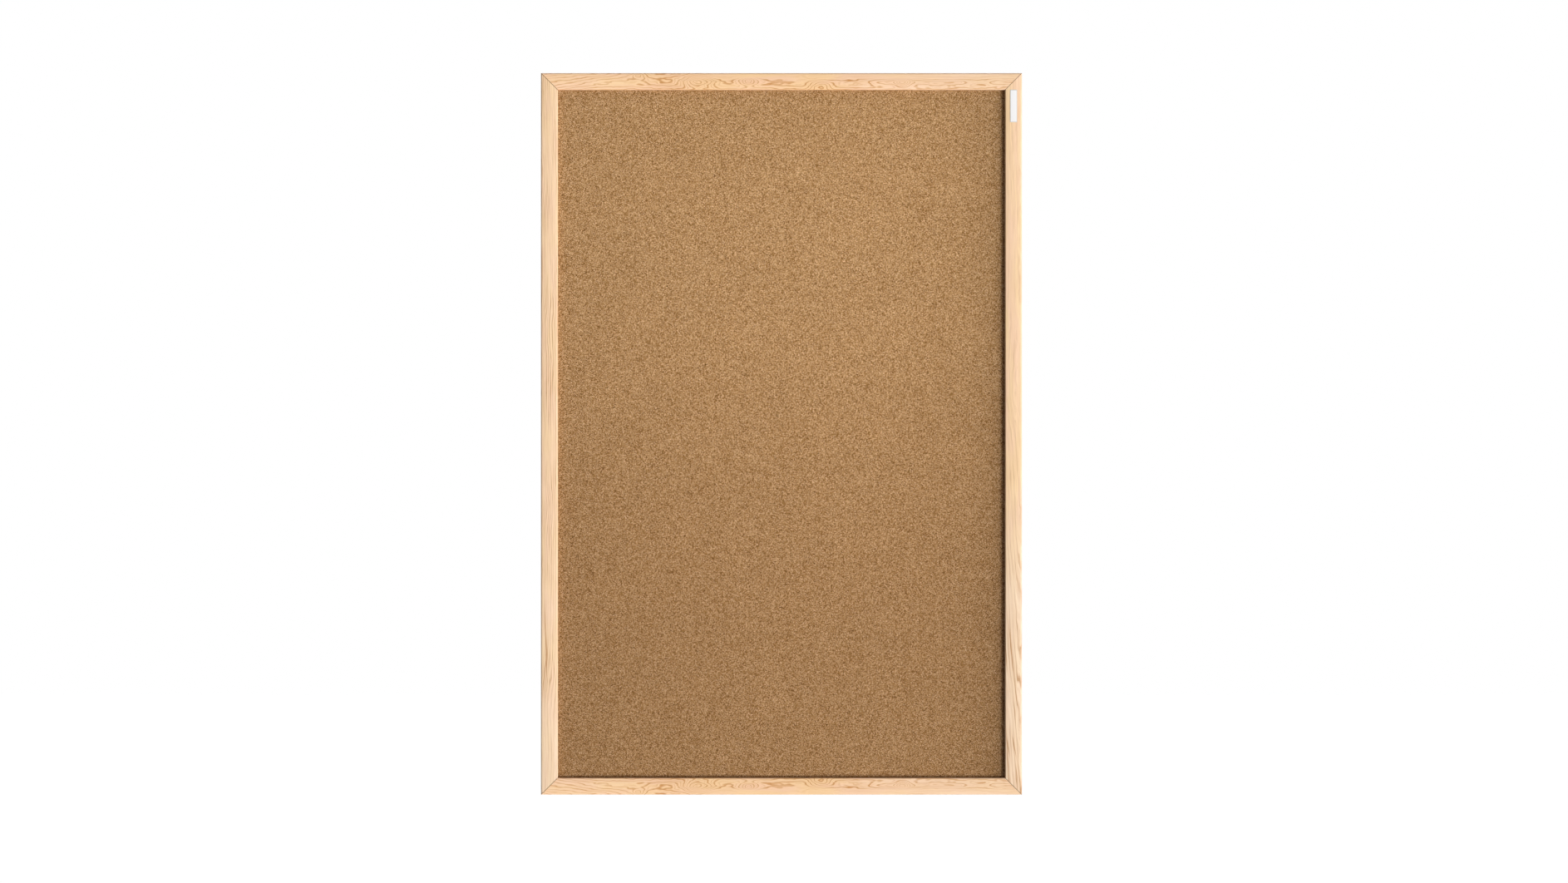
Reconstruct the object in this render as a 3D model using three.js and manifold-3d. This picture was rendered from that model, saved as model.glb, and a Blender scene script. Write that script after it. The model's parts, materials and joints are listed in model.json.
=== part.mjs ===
// Cork pin board in a mitred pine frame, drawn upright in millimetres.
// X runs to the right, Z runs up and the front faces -Y. The origin is the middle of the board
// on the plane of the wall, where the four bumpers on its back touch it.

import * as THREE from "three";
import { mergeVertices } from "three/addons/utils/BufferGeometryUtils.js";
import Module from "manifold-3d";

const wasm = await Module();
wasm.setup();

// Outside of the board
const BOARD_WIDTH = 600;
const BOARD_HEIGHT = 900;

// Frame moulding: a back band with a lip that laps over the front of the panel
const FACE_WIDTH = 21;
const RABBET_WIDTH = 8;
const LIP_THICKNESS = 6;
const REAR_RECESS = 2.3;
const FRONT_EDGE_RADIUS = 1.2;
const BACK_EDGE_CHAMFER = 0.6;
const MITRE_GAP = 0.3;

// Panel: cork glued to soft fibreboard, on a thin hardboard back
const PANEL_EDGE_CLEARANCE = 1;
const PANEL_SEAT_GAP = 0.3;
const GLUE_GAP = 0.2;
const CORK_THICKNESS = 2;
const CORE_THICKNESS = 4.5;
const BACKING_THICKNESS = 2.5;

// Steel tabs, pushed into the rabbet wall behind the panel
const TABS_PER_RAIL = 3;
const TABS_PER_STILE = 5;
const TAB_WIDTH = 6;
const TAB_THICKNESS = 0.5;
const TAB_BITE = 6;
const TAB_OVERLAP = 8;
const TAB_NOSE = 1.5;
const TAB_SEAT_GAP = 0.3;

// V nails, driven into each mitre from the back
const NAILS_PER_CORNER = 2;
const NAIL_WING = 5;
const NAIL_THICKNESS = 0.5;
const NAIL_HEIGHT = 7;
const NAIL_SET = 0.3;

// Room around a fastener in its slot or pilot hole
const FASTENER_CLEARANCE = 0.3;
const CUT_OVERRUN = 1;

// Hanger: a steel strip folded round a wire D ring
const STRIP_THICKNESS = 0.7;
const STRAP_WIDTH = 7;
const STRAP_GAP = 0.1;
const STRAP_END_MARGIN = 4.5;
const WIRE_RADIUS = 0.9;
const RING_CLEARANCE = 0.3;
const RING_SIDE_CLEARANCE = 0.4;
const RING_CORNER_RADIUS = 1.5;
const RING_HEIGHT = 12;
const RING_REST_GAP = 0.3;
const RING_EDGE_MARGIN = 0.9;

// Pan head screws that hold the hanger
const SCREW_SPACING = 10;
const SCREW_SHANK_RADIUS = 1.4;
const SCREW_LENGTH = 12;
const SCREW_TIP_LENGTH = 3;
const SCREW_HEAD_RADIUS = 2.75;
const SCREW_HEAD_HEIGHT = 1.8;
const SCREW_HEAD_RIM = 0.7;
const SCREW_SEAT_GAP = 0.1;
const SCREW_TO_RING = 0.35;
const RECESS_SPAN = 3;
const RECESS_WIDTH = 0.8;
const RECESS_DEPTH = 1;

// Rubber bumpers, which keep the hangers off the wall
const BUMPER_RADIUS = 4.5;
const BUMPER_EDGE_RADIUS = 1.2;
const BUMPER_GAP = 0.1;
const BUMPER_INSET = 30;
const WALL_CLEARANCE = 0.4;

// Room along the frame between the bumper, the ring and the first tab
const BUMPER_TO_RING = 24;
const STRAP_TO_TAB = 22;

// Blank paper label on the front of the right stile
const LABEL_WIDTH = 8.8;
const LABEL_LENGTH = 40.5;
const LABEL_THICKNESS = 0.2;
const LABEL_CORNER_RADIUS = 0.6;
const LABEL_GAP = 0.1;

// Steps of the round surfaces, and how near two points count as one
const EDGE_STEPS = 2;
const KNUCKLE_STEPS = 8;
const WIRE_SIDES = 10;
const CORNER_STEPS = 4;
const ARCH_STEPS = 14;
const LATHE_STEPS = 20;
const DOME_STEPS = 4;
const WELD_DISTANCE = 0.001;

// Depths, counted along Y from the wall at zero to the front of the frame
const knuckleInnerRadius = WIRE_RADIUS + RING_CLEARANCE;
const knuckleOuterRadius = knuckleInnerRadius + STRIP_THICKNESS;
const leafThickness = 2 * STRIP_THICKNESS;
const hingeHeight = STRAP_GAP + knuckleOuterRadius;
const bumperTop = hingeHeight + knuckleOuterRadius + WALL_CLEARANCE;
const frameBackY = -bumperTop;
const tabBackY = frameBackY - REAR_RECESS + TAB_SEAT_GAP + TAB_THICKNESS;
const backingBackY = frameBackY - REAR_RECESS;
const backingFrontY = backingBackY - BACKING_THICKNESS;
const coreBackY = backingFrontY - GLUE_GAP;
const coreFrontY = coreBackY - CORE_THICKNESS;
const corkBackY = coreFrontY - GLUE_GAP;
const corkFrontY = corkBackY - CORK_THICKNESS;
const lipBackY = corkFrontY - PANEL_SEAT_GAP;
const frameFrontY = lipBackY - LIP_THICKNESS;

// Widths across the moulding, counted inwards from its outer face
const bandWidth = FACE_WIDTH - RABBET_WIDTH;
const ringHalfWidth = STRAP_WIDTH / 2 + RING_SIDE_CLEARANCE + RING_CORNER_RADIUS;
const hangerInset = RING_EDGE_MARGIN + WIRE_RADIUS + ringHalfWidth;

// Places along the moulding, counted from the board's corner
const ringReach = RING_HEIGHT + WIRE_RADIUS;
const firstScrew = RING_HEIGHT - WIRE_RADIUS - SCREW_TO_RING - SCREW_HEAD_RADIUS;
const screwOffsets = [firstScrew, firstScrew + SCREW_SPACING];
const strapLength = firstScrew + SCREW_SPACING + STRAP_END_MARGIN;
const hangerDrop = BUMPER_INSET + BUMPER_RADIUS + BUMPER_TO_RING + ringReach;
const tabEndInset = hangerDrop + strapLength + STRAP_TO_TAB;

// Finishes
function finish(color, roughness, metalness) {
  return new THREE.MeshStandardMaterial({ color, roughness, metalness, flatShading: true });
}

const pine = finish(0xf1c79c, 0.6, 0);
const cork = finish(0xab8258, 0.95, 0);
const softboard = finish(0xb08a5e, 0.95, 0);
const hardboard = finish(0x7a5233, 0.7, 0);
const zincSteel = finish(0xb9bcbe, 0.35, 1);
const nickelWire = finish(0xc9cacb, 0.25, 1);
const paper = finish(0xf7f7f5, 0.8, 0);
const rubber = finish(0x3b3a39, 0.8, 0);

// Solids
function weld(geometry) {
  const bare = geometry.clone();
  bare.deleteAttribute("normal");
  bare.deleteAttribute("uv");
  return mergeVertices(bare, WELD_DISTANCE);
}

function solidOf(geometry) {
  const welded = weld(geometry);
  const vertProperties = new Float32Array(welded.attributes.position.array);
  const triVerts = new Uint32Array(welded.index.array);
  return new wasm.Manifold(new wasm.Mesh({ numProp: 3, vertProperties, triVerts }));
}

function geometryOf(solid) {
  const mesh = solid.getMesh();
  const geometry = new THREE.BufferGeometry();
  geometry.setAttribute("position", new THREE.BufferAttribute(mesh.vertProperties, 3));
  geometry.setIndex(new THREE.BufferAttribute(mesh.triVerts, 1));
  return geometry;
}

function cutAway(geometry, cutters) {
  const body = cutters.reduce((solid, cutter) => solid.subtract(solidOf(cutter)), solidOf(geometry));
  return geometryOf(body);
}

// A flat outline in X and Z, given thickness from frontY to backY
function plate(outline, frontY, backY) {
  const options = { depth: backY - frontY, bevelEnabled: false, curveSegments: EDGE_STEPS };
  return new THREE.ExtrudeGeometry(outline, options).rotateX(Math.PI / 2).translate(0, backY, 0);
}

// A profile swept along X: its x runs down from Z zero and its y runs along Y
function sweepAlongX(profile, length, steps) {
  const options = { depth: length, bevelEnabled: false, curveSegments: steps };
  return new THREE.ExtrudeGeometry(profile, options).translate(0, 0, -length / 2).rotateY(Math.PI / 2);
}

function pin(radius, bottomY, topY) {
  const height = topY - bottomY;
  return new THREE.CylinderGeometry(radius, radius, height, LATHE_STEPS).translate(0, bottomY + height / 2, 0);
}

function rectangle(left, right, bottom, top) {
  const outline = new THREE.Shape();
  outline.moveTo(left, bottom);
  outline.lineTo(right, bottom);
  outline.lineTo(right, top);
  outline.lineTo(left, top);
  return outline;
}

function roundedRectangle(width, height, radius) {
  const right = width / 2 - radius;
  const top = height / 2 - radius;
  const outline = new THREE.Shape();
  outline.absarc(right, top, radius, 0, Math.PI / 2);
  outline.absarc(-right, top, radius, Math.PI / 2, Math.PI);
  outline.absarc(-right, -top, radius, Math.PI, 1.5 * Math.PI);
  outline.absarc(right, -top, radius, 1.5 * Math.PI, 2 * Math.PI);
  return outline;
}

function arcPoints(centreX, centreY, radius, fromAngle, toAngle, steps) {
  return Array.from({ length: steps + 1 }, (_, i) => {
    const angle = fromAngle + ((toAngle - fromAngle) * i) / steps;
    return new THREE.Vector2(centreX + radius * Math.cos(angle), centreY + radius * Math.sin(angle));
  });
}

function addPiece(parent, name, geometry, material) {
  const mesh = new THREE.Mesh(weld(geometry), material);
  mesh.name = name;
  parent.add(mesh);
  return mesh;
}

// Moulding section: x is the distance in from the outer face
function mouldingSection() {
  const radius = FRONT_EDGE_RADIUS;
  const section = new THREE.Shape();
  section.moveTo(BACK_EDGE_CHAMFER, frameBackY);
  section.lineTo(bandWidth, frameBackY);
  section.lineTo(bandWidth, lipBackY);
  section.lineTo(FACE_WIDTH, lipBackY);
  section.absarc(FACE_WIDTH - radius, frameFrontY + radius, radius, 0, -Math.PI / 2, true);
  section.absarc(radius, frameFrontY + radius, radius, -Math.PI / 2, -Math.PI, true);
  section.lineTo(0, frameBackY - BACK_EDGE_CHAMFER);
  return section;
}

// A length of moulding whose ends are cut at 45 degrees, with its outer face at Z = reach
function mitredBar(length, reach) {
  const bar = sweepAlongX(mouldingSection(), length, EDGE_STEPS);
  const points = bar.attributes.position;
  for (let i = 0; i < points.count; i += 1) {
    const inFromOuterFace = -points.getZ(i);
    const halfLength = length / 2 - inFromOuterFace - MITRE_GAP / Math.SQRT2;
    points.setX(i, Math.sign(points.getX(i)) * halfLength);
  }
  return bar.translate(0, 0, reach);
}

// V nail across a mitre: its point is outwards and its wings follow the two members
function nailOutline(depth, room) {
  const tip = -depth + room;
  const inner = -depth - NAIL_THICKNESS - room;
  const end = -depth - NAIL_WING - room;
  const outline = new THREE.Shape();
  outline.moveTo(tip, tip);
  outline.lineTo(end, tip);
  outline.lineTo(end, inner);
  outline.lineTo(inner, inner);
  outline.lineTo(inner, end);
  outline.lineTo(tip, end);
  return outline;
}

function nailDepths() {
  return Array.from({ length: NAILS_PER_CORNER }, (_, i) => (bandWidth * (i + 1)) / (NAILS_PER_CORNER + 1));
}

function nailSlots(length, reach) {
  const floorY = frameBackY - NAIL_SET - NAIL_HEIGHT - FASTENER_CLEARANCE;
  return nailDepths().flatMap((depth) => {
    const slot = plate(nailOutline(depth, FASTENER_CLEARANCE), floorY, frameBackY + CUT_OVERRUN);
    const ahead = slot.clone().translate(length / 2, 0, reach);
    const behind = slot.rotateY(-Math.PI / 2).translate(-length / 2, 0, reach);
    return [ahead, behind];
  });
}

function addNails(group, corner, length, reach) {
  const backY = frameBackY - NAIL_SET;
  nailDepths().forEach((depth, i) => {
    const nail = plate(nailOutline(depth, 0), backY - NAIL_HEIGHT, backY).translate(length / 2, 0, reach);
    addPiece(group, `v_nail_${corner}_${i + 1}`, nail, zincSteel);
  });
}

// Tabs in a row along a member, level with the back of the panel
function tabPlaces(count, length) {
  const run = length - 2 * tabEndInset;
  return Array.from({ length: count }, (_, i) => (count > 1 ? (run * i) / (count - 1) - run / 2 : 0));
}

function tabOutline() {
  const half = TAB_WIDTH / 2;
  const outline = new THREE.Shape();
  outline.moveTo(-half, -TAB_OVERLAP);
  outline.lineTo(half, -TAB_OVERLAP);
  outline.lineTo(half, TAB_BITE - TAB_NOSE);
  outline.lineTo(half - TAB_NOSE, TAB_BITE);
  outline.lineTo(TAB_NOSE - half, TAB_BITE);
  outline.lineTo(-half, TAB_BITE - TAB_NOSE);
  return outline;
}

function tabSlots(count, length, reach) {
  const half = TAB_WIDTH / 2 + FASTENER_CLEARANCE;
  const outline = rectangle(-half, half, -CUT_OVERRUN, TAB_BITE + FASTENER_CLEARANCE);
  const frontY = tabBackY - TAB_THICKNESS - FASTENER_CLEARANCE;
  const slot = plate(outline, frontY, tabBackY + FASTENER_CLEARANCE);
  return tabPlaces(count, length).map((x) => slot.clone().translate(x, 0, reach - bandWidth));
}

function addTabs(group, side, count, length, reach) {
  tabPlaces(count, length).forEach((x, i) => {
    const tab = plate(tabOutline(), tabBackY - TAB_THICKNESS, tabBackY).translate(x, 0, reach - bandWidth);
    addPiece(group, `backing_tab_${side}_${i + 1}`, tab, zincSteel);
  });
}

// Hanger, drawn with its hinge along X, its ring towards Z and Y standing off the frame
function strapSection() {
  const section = new THREE.Shape();
  const leafTop = STRAP_GAP + leafThickness;
  const meet = Math.asin((hingeHeight - leafTop) / knuckleOuterRadius);
  section.moveTo(strapLength, STRAP_GAP);
  section.lineTo(strapLength, leafTop);
  section.absarc(0, hingeHeight, knuckleOuterRadius, -meet, 1.5 * Math.PI);
  const bore = new THREE.Path();
  bore.absarc(0, hingeHeight, knuckleInnerRadius, 0, 2 * Math.PI);
  section.holes.push(bore);
  return section;
}

function strapPlan() {
  const half = STRAP_WIDTH / 2;
  const plan = new THREE.Shape();
  plan.moveTo(half, half);
  plan.lineTo(-half, half);
  plan.absarc(0, half - strapLength, half, Math.PI, 2 * Math.PI);
  return plan;
}

function strapGeometry() {
  const folded = solidOf(sweepAlongX(strapSection(), STRAP_WIDTH, KNUCKLE_STEPS));
  const options = { depth: bumperTop, bevelEnabled: false, curveSegments: KNUCKLE_STEPS };
  const plan = new THREE.ExtrudeGeometry(strapPlan(), options).rotateX(Math.PI / 2).translate(0, bumperTop, 0);
  const holes = screwOffsets.map((offset) => {
    const hole = pin(SCREW_SHANK_RADIUS + FASTENER_CLEARANCE, -CUT_OVERRUN, bumperTop);
    return hole.translate(0, 0, -offset);
  });
  return cutAway(geometryOf(folded.intersect(solidOf(plan))), holes);
}

function ringLoop() {
  const radius = RING_CORNER_RADIUS;
  const straight = ringHalfWidth - radius;
  const archHeight = RING_HEIGHT - ringHalfWidth;
  return [
    ...arcPoints(-straight, radius, radius, Math.PI, 1.5 * Math.PI, CORNER_STEPS),
    ...arcPoints(straight, radius, radius, 1.5 * Math.PI, 2 * Math.PI, CORNER_STEPS),
    ...arcPoints(0, archHeight, ringHalfWidth, 0, Math.PI, ARCH_STEPS),
  ];
}

// Round wire along a closed loop of points in the XZ plane
function wireGeometry(loop, radius, sides) {
  const positions = [];
  const indices = [];
  loop.forEach((point, i) => {
    const before = loop.at(i - 1);
    const after = loop[(i + 1) % loop.length];
    const into = point.clone().sub(before).normalize();
    const out = after.clone().sub(point).normalize();
    const along = into.add(out).normalize();
    for (let j = 0; j < sides; j += 1) {
      const angle = (2 * Math.PI * j) / sides;
      const sideways = radius * Math.cos(angle);
      positions.push(point.x + along.y * sideways, radius * Math.sin(angle), point.y - along.x * sideways);
      const ring = i * sides;
      const nextRing = ((i + 1) % loop.length) * sides;
      const nextSide = (j + 1) % sides;
      indices.push(ring + j, ring + nextSide, nextRing + j);
      indices.push(ring + nextSide, nextRing + nextSide, nextRing + j);
    }
  });
  const geometry = new THREE.BufferGeometry();
  geometry.setAttribute("position", new THREE.Float32BufferAttribute(positions, 3));
  geometry.setIndex(indices);
  return geometry;
}

// Screw, drawn with its seat at Y zero and its head towards Y
function screwGeometry() {
  const domeHeight = SCREW_HEAD_HEIGHT - SCREW_HEAD_RIM;
  const dome = arcPoints(0, 0, 1, 0, Math.PI / 2, DOME_STEPS).map(
    (share) => new THREE.Vector2(share.x * SCREW_HEAD_RADIUS, SCREW_HEAD_RIM + share.y * domeHeight),
  );
  dome[DOME_STEPS].x = 0;
  const profile = [
    new THREE.Vector2(0, -SCREW_LENGTH),
    new THREE.Vector2(SCREW_SHANK_RADIUS, SCREW_TIP_LENGTH - SCREW_LENGTH),
    new THREE.Vector2(SCREW_SHANK_RADIUS, 0),
    new THREE.Vector2(SCREW_HEAD_RADIUS, 0),
    ...dome,
  ];
  const half = RECESS_SPAN / 2;
  const floorY = SCREW_HEAD_HEIGHT - RECESS_DEPTH;
  const arm = rectangle(-half, half, -RECESS_WIDTH / 2, RECESS_WIDTH / 2);
  const slot = plate(arm, floorY, SCREW_HEAD_HEIGHT + CUT_OVERRUN);
  const cross = slot.clone().rotateY(Math.PI / 2);
  return cutAway(new THREE.LatheGeometry(profile, LATHE_STEPS), [slot, cross]);
}

function hangerGroup(member) {
  const hanger = new THREE.Group();
  const along = member.hangerEnd * (member.length / 2 - hangerDrop);
  hanger.position.set(along, frameBackY, member.reach - hangerInset);
  hanger.rotation.y = (member.hangerEnd * Math.PI) / 2;
  hanger.updateMatrix();
  return hanger;
}

function pilotHoles(member) {
  const toMember = hangerGroup(member).matrix;
  const seat = STRAP_GAP + leafThickness + SCREW_SEAT_GAP;
  const bottomY = seat - SCREW_LENGTH - FASTENER_CLEARANCE;
  return screwOffsets.map((offset) => {
    const hole = pin(SCREW_SHANK_RADIUS + FASTENER_CLEARANCE, bottomY, CUT_OVERRUN);
    return hole.translate(0, 0, -offset).applyMatrix4(toMember);
  });
}

function addHanger(group, member) {
  const hanger = hangerGroup(member);
  addPiece(hanger, `${member.hanger}_hanger_strap`, strapGeometry(), zincSteel);
  screwOffsets.forEach((offset, i) => {
    const screw = addPiece(hanger, `${member.hanger}_hanger_screw_${i + 1}`, screwGeometry(), zincSteel);
    screw.position.set(0, STRAP_GAP + leafThickness + SCREW_SEAT_GAP, -offset);
  });
  const wire = wireGeometry(ringLoop(), WIRE_RADIUS, WIRE_SIDES);
  const ring = addPiece(hanger, `${member.hanger}_hanger_ring`, wire, nickelWire);
  ring.position.y = hingeHeight;
  ring.rotation.x = Math.asin((hingeHeight - WIRE_RADIUS - RING_REST_GAP) / RING_HEIGHT);
  group.add(hanger);
}

// Bumper, drawn standing on Y zero
function bumperGeometry() {
  const height = bumperTop - BUMPER_GAP;
  const radius = BUMPER_EDGE_RADIUS;
  const edge = arcPoints(BUMPER_RADIUS - radius, height - radius, radius, 0, Math.PI / 2, DOME_STEPS);
  const profile = [new THREE.Vector2(0, 0), new THREE.Vector2(BUMPER_RADIUS, 0), ...edge, new THREE.Vector2(0, height)];
  return new THREE.LatheGeometry(profile, LATHE_STEPS);
}

function addBumper(group, corner, x, reach) {
  const bumper = addPiece(group, `bumper_${corner}`, bumperGeometry(), rubber);
  bumper.position.set(x, frameBackY + BUMPER_GAP, reach - bandWidth / 2);
}

// Frame members, each drawn along X with its outer face up and then turned to its side of the board.
// The ahead corner is at its X end, and hangerEnd says which end its hanger's ring points to.
const members = [
  {
    side: "top",
    name: "frame_rail_top",
    length: BOARD_WIDTH,
    reach: BOARD_HEIGHT / 2,
    tabs: TABS_PER_RAIL,
    ahead: "top_right",
    hanger: "landscape_top",
    hangerEnd: 1,
  },
  {
    side: "right",
    name: "frame_stile_right",
    length: BOARD_HEIGHT,
    reach: BOARD_WIDTH / 2,
    tabs: TABS_PER_STILE,
    ahead: "bottom_right",
    hanger: "portrait_right",
    hangerEnd: -1,
  },
  {
    side: "bottom",
    name: "frame_rail_bottom",
    length: BOARD_WIDTH,
    reach: BOARD_HEIGHT / 2,
    tabs: TABS_PER_RAIL,
    ahead: "bottom_left",
    hanger: "landscape_bottom",
    hangerEnd: -1,
  },
  {
    side: "left",
    name: "frame_stile_left",
    length: BOARD_HEIGHT,
    reach: BOARD_WIDTH / 2,
    tabs: TABS_PER_STILE,
    ahead: "top_left",
    hanger: "portrait_left",
    hangerEnd: 1,
  },
];

function addMember(board, member, quarterTurns) {
  const { name, side, length, reach, tabs, ahead } = member;
  const group = new THREE.Group();
  group.rotation.y = (quarterTurns * Math.PI) / 2;
  const cutters = [...nailSlots(length, reach), ...tabSlots(tabs, length, reach), ...pilotHoles(member)];
  addPiece(group, name, cutAway(mitredBar(length, reach), cutters), pine);
  addNails(group, ahead, length, reach);
  addTabs(group, side, tabs, length, reach);
  addHanger(group, member);
  board.add(group);
  return group;
}

function addLayer(board, name, frontY, backY, material) {
  const outer = 2 * (bandWidth + PANEL_EDGE_CLEARANCE);
  const layer = new THREE.BoxGeometry(BOARD_WIDTH - outer, backY - frontY, BOARD_HEIGHT - outer);
  addPiece(board, name, layer.translate(0, (frontY + backY) / 2, 0), material);
}

const board = new THREE.Group();

addLayer(board, "cork_sheet", corkFrontY, corkBackY, cork);
addLayer(board, "softboard_core", coreFrontY, coreBackY, softboard);
addLayer(board, "backing_board", backingFrontY, backingBackY, hardboard);

const [, rightStile, , leftStile] = members.map((member, turns) => addMember(board, member, turns));

const bumperPlace = BOARD_HEIGHT / 2 - BUMPER_INSET;
addBumper(rightStile, "bottom_right", bumperPlace, BOARD_WIDTH / 2);
addBumper(rightStile, "top_right", -bumperPlace, BOARD_WIDTH / 2);
addBumper(leftStile, "top_left", bumperPlace, BOARD_WIDTH / 2);
addBumper(leftStile, "bottom_left", -bumperPlace, BOARD_WIDTH / 2);

const labelBackY = frameFrontY - LABEL_GAP;
const labelOutline = roundedRectangle(LABEL_WIDTH, LABEL_LENGTH, LABEL_CORNER_RADIUS);
const labelX = BOARD_WIDTH / 2 - FACE_WIDTH / 2;
const labelZ = BOARD_HEIGHT / 2 - FACE_WIDTH - LABEL_LENGTH / 2;
const label = plate(labelOutline, labelBackY - LABEL_THICKNESS, labelBackY).translate(labelX, 0, labelZ);
addPiece(board, "blank_label", label, paper);

export default board;
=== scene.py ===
# Cork pin board in a pine frame, upright, seen from the front. Lengths are in metres.
import json
import math

import bmesh
import bpy
from mathutils import Matrix, Vector, noise


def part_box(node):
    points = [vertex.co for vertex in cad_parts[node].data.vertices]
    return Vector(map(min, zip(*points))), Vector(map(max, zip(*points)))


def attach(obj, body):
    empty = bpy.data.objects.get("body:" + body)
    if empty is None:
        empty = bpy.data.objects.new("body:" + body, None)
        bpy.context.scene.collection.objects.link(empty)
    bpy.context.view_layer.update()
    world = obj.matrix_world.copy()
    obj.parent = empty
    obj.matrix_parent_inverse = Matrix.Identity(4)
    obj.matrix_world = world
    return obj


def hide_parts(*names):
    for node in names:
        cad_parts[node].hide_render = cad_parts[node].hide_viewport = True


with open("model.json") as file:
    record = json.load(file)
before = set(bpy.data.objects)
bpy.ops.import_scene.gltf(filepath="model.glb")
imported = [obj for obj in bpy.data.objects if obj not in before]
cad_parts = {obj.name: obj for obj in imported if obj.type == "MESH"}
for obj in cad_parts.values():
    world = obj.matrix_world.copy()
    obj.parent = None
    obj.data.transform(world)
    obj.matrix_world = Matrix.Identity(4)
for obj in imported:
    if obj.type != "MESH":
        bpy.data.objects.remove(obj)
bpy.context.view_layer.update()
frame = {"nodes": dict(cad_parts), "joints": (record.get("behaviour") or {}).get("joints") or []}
nodes = frame["nodes"]
joints = {joint["name"]: joint for joint in frame["joints"]}
print("frame loaded:", len(nodes), "nodes")


# Shared helpers for shader nodes

def linear(red, green, blue):  # a colour as read off a screen, 0 to 255
    parts = [value / 255 for value in (red, green, blue)]
    return (*[p / 12.92 if p <= 0.04045 else ((p + 0.055) / 1.055) ** 2.4 for p in parts], 1.0)


def put(tree, kind, inputs, **settings):
    node = tree.nodes.new("ShaderNode" + kind)
    for key, value in settings.items():
        setattr(node, key, value)
    for key, value in inputs.items():
        if isinstance(value, bpy.types.NodeSocket):
            tree.links.new(value, node.inputs[key])
        else:
            node.inputs[key].default_value = value
    return node


def calc(tree, operation, first, second=0.0, third=0.0):
    return put(tree, "Math", {0: first, 1: second, 2: third}, operation=operation).outputs[0]


def vectorCalc(tree, operation, first, second, third=(0.0, 0.0, 0.0)):
    inputs = {0: first, 1: second, 2: third}
    return put(tree, "VectorMath", inputs, operation=operation).outputs[0]


def vectorOf(tree, x, y, z=0.0):
    return put(tree, "CombineXYZ", {0: x, 1: y, 2: z}).outputs[0]


def greyOf(tree, shade):
    return put(tree, "CombineColor", {0: shade, 1: shade, 2: shade}).outputs[0]


def bell(tree, vector):  # 1 where the vector is zero, falling off smoothly round it
    square = put(tree, "VectorMath", {0: vector, 1: vector}, operation="DOT_PRODUCT")
    return calc(tree, "POWER", math.e, calc(tree, "MULTIPLY", square.outputs["Value"], -1.0))


def mixColors(tree, share, first, second, mode="MIX"):
    inputs = {0: share, 6: first, 7: second}
    return put(tree, "Mix", inputs, data_type="RGBA", blend_type=mode).outputs[2]


def ramp(tree, value, stops):  # stops are pairs of a place and a colour or grey
    node = put(tree, "ValToRGB", {0: value})
    elements = node.color_ramp.elements
    elements.remove(elements[1])
    for index, (place, shade) in enumerate(stops):
        element = elements[0] if index == 0 else elements.new(place)
        element.position = place
        element.color = shade if isinstance(shade, tuple) else (shade, shade, shade, 1.0)
    return node.outputs[0]


def fadeIn(tree, value, places):  # 0 up to the first place, 1 from the second on
    return ramp(tree, value, [(places[0], 0.0), (places[1], 1.0)])


def softNoise(tree, vector, scale, detail=2.0, roughness=0.5):
    inputs = {"Vector": vector, "Scale": scale, "Detail": detail, "Roughness": roughness}
    return put(tree, "TexNoise", inputs)


def stretch(tree, vector, factors):
    return put(tree, "Mapping", {"Vector": vector, "Scale": factors}).outputs[0]


def stretchedNoise(tree, vector, factors, detail=2.0, roughness=0.5):
    return softNoise(tree, stretch(tree, vector, factors), 1.0, detail, roughness)


def spread(tree, value, low, high, start=0.0, end=1.0):  # takes start to end onto low to high
    inputs = {"Value": value, "From Min": start, "From Max": end, "To Min": low, "To Max": high}
    return put(tree, "MapRange", inputs).outputs[0]


def relief(tree, height, strength, depth):
    inputs = {"Strength": strength, "Distance": depth, "Height": height}
    return put(tree, "Bump", inputs).outputs[0]


def newSurface(name, fixed):
    surface = bpy.data.materials.new(name)
    surface.use_nodes = True
    tree = surface.node_tree
    shader = tree.nodes["Principled BSDF"]
    for key, value in fixed.items():
        shader.inputs[key].default_value = value
    place = put(tree, "TexCoord", {}).outputs["Object"]
    return surface, tree, shader, place


def join(tree, shader, links):
    for key, socket in links.items():
        tree.links.new(socket, shader.inputs[key])


# Shared helpers for meshes

touching = 0.000001  # points nearer than this are one point, or lie on one level
sameSpot = 0.0000001  # the same, where finer parts lie close together


def shape(bm, name, surface, smoothAngle=32):
    bmesh.ops.recalc_face_normals(bm, faces=bm.faces)
    mesh = bpy.data.meshes.new(name)
    bm.to_mesh(mesh)
    bm.free()
    mesh.polygons.foreach_set("use_smooth", [True] * len(mesh.polygons))
    mesh.set_sharp_from_angle(angle=math.radians(smoothAngle))
    mesh.materials.append(surface)
    piece = bpy.data.objects.new(name, mesh)
    bpy.context.scene.collection.objects.link(piece)
    return piece


def evenNormals(piece):  # keeps large flat faces flat beside their small rounded edges
    weighted = piece.modifiers.new("normals", "WEIGHTED_NORMAL")
    weighted.weight = 100
    weighted.keep_sharp = True


def settle(piece, body, node):
    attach(piece, body)
    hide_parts(node)


def mergedCopy(node, grow):  # a node's mesh with its doubles merged, swollen by grow
    bm = bmesh.new()
    bm.from_mesh(nodes[node].data)
    bmesh.ops.remove_doubles(bm, verts=bm.verts, dist=touching)
    bm.normal_update()
    for vert in bm.verts:
        vert.co += vert.normal * grow
    return bm


def finishMesh(piece):  # makes what the modifiers show the piece's own mesh
    evaluated = piece.evaluated_get(bpy.context.evaluated_depsgraph_get())
    finished = bpy.data.meshes.new_from_object(evaluated)
    spare = piece.data
    piece.modifiers.clear()
    piece.data = finished
    bpy.data.meshes.remove(spare)


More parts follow.
